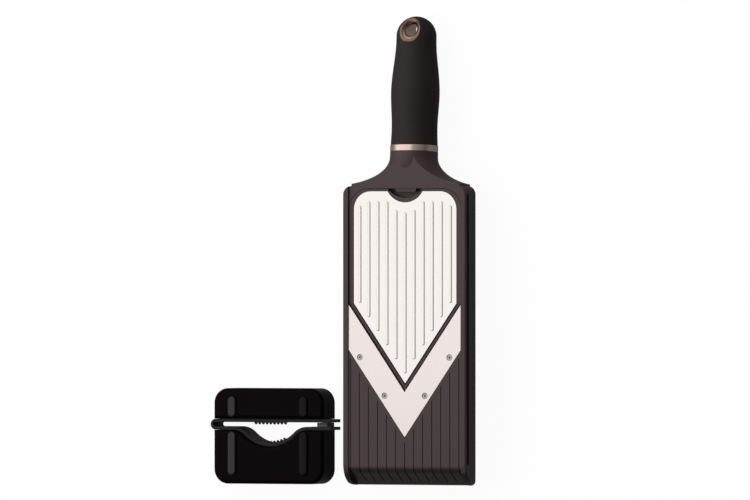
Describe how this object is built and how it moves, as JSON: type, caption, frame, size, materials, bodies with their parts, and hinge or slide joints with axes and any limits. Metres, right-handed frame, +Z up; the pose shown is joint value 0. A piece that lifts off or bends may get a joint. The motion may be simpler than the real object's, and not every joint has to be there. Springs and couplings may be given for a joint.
{
  "type": "mandoline slicer",
  "caption": "Hand-held mandoline slicer with a V blade, grooved ramp, lift-out ribbed insert, round soft grip with a hanging eyelet, and a loose toothed hand guard.",
  "frame": {"origin": "middle of the foot's sole, on the table the slicer lies on", "axes": "+X across the runway to the right, +Y along it towards the handle, +Z up from the table"},
  "size_m": [0.2374, 0.3802, 0.0427],
  "materials": {
    "tray_plastic": "satin moulded",
    "blade_steel": "bright satin",
    "screw_steel": "plain",
    "bronze": "polished bronze tone",
    "core_plastic": "plain",
    "soft_grip": "matte soft touch",
    "sole_rubber": "matte",
    "guard_plastic": "gloss",
    "stop_plastic": "plain"
  },
  "bodies": {
    "slicer": {"tray": "tray_plastic", "v_blade": "blade_steel", "blade_screws": "screw_steel", "ferrule_band": "bronze", "handle_core": "core_plastic", "tang_pin": "screw_steel", "grip_front": "soft_grip", "grip_back": "soft_grip", "hang_eyelet": "bronze", "nose_foot": "tray_plastic", "foot_sole": "sole_rubber", "foot_screws": "screw_steel"},
    "insert": {"insert_frame": "tray_plastic", "insert_plate": "blade_steel"},
    "tongue": {"snap_tongue": "tray_plastic"},
    "guard_front": {"guard_front_shell": "guard_plastic", "guard_front_jaw": "guard_plastic", "guard_stop": "stop_plastic", "guard_spring_loop": "guard_plastic"},
    "guard_rear": {"guard_rear_shell": "guard_plastic", "guard_rear_jaw": "guard_plastic"}
  },
  "joints": [
    {"name": "insert_lift", "type": "slide", "parent": "slicer", "child": "insert", "axis": [0, 0, 1], "range_m": [0, 0.06]},
    {"name": "tongue_flex", "type": "hinge", "parent": "slicer", "child": "tongue", "pos_m": [0, 0.2221, 0.0382], "axis": [1, 0, 0], "range_deg": [0, 6], "stiffness_Nm_per_rad": 0.05},
    {"name": "guard_lift", "type": "slide", "parent": "slicer", "child": "guard_front", "axis": [0, 0, 1], "range_m": [0, 0.12]},
    {"name": "guard_jaws", "type": "hinge", "parent": "guard_front", "child": "guard_rear", "pos_m": [-0.1785, 0.0225, 0], "axis": [0, 0, 1], "range_deg": [0, 25], "stiffness_Nm_per_rad": 0.4, "deforming": ["guard_spring_loop"]}
  ]
}
